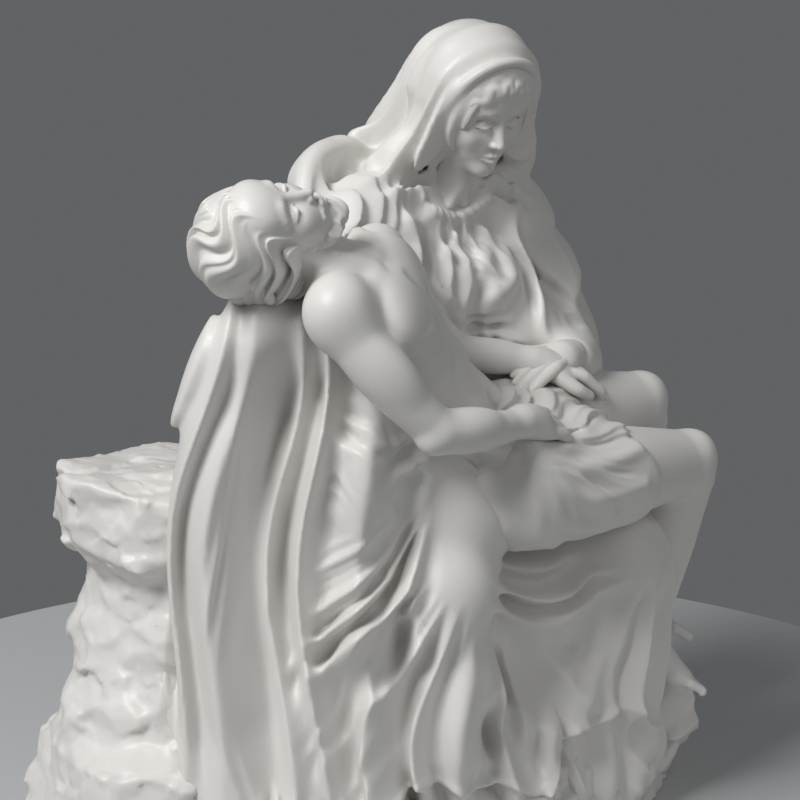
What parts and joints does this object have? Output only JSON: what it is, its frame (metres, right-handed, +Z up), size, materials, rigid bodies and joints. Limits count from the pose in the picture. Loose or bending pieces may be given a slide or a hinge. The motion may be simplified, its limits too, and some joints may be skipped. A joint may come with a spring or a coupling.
{
  "type": "pieta statue",
  "caption": "White cast statue of a seated, veiled mother holding her dead son across her lap, on a rough rock base.",
  "frame": {"origin": "on the flat underside, at the middle of the rock base", "axes": "+Z up, -Y towards the viewer in front, +X to that viewer's right, where the son's knees are"},
  "size_m": [0.2734, 0.1823, 0.3],
  "materials": {
    "white_cast": "satin"
  },
  "bodies": {
    "root": {"pieta_cast": "white_cast"}
  },
  "joints": []
}
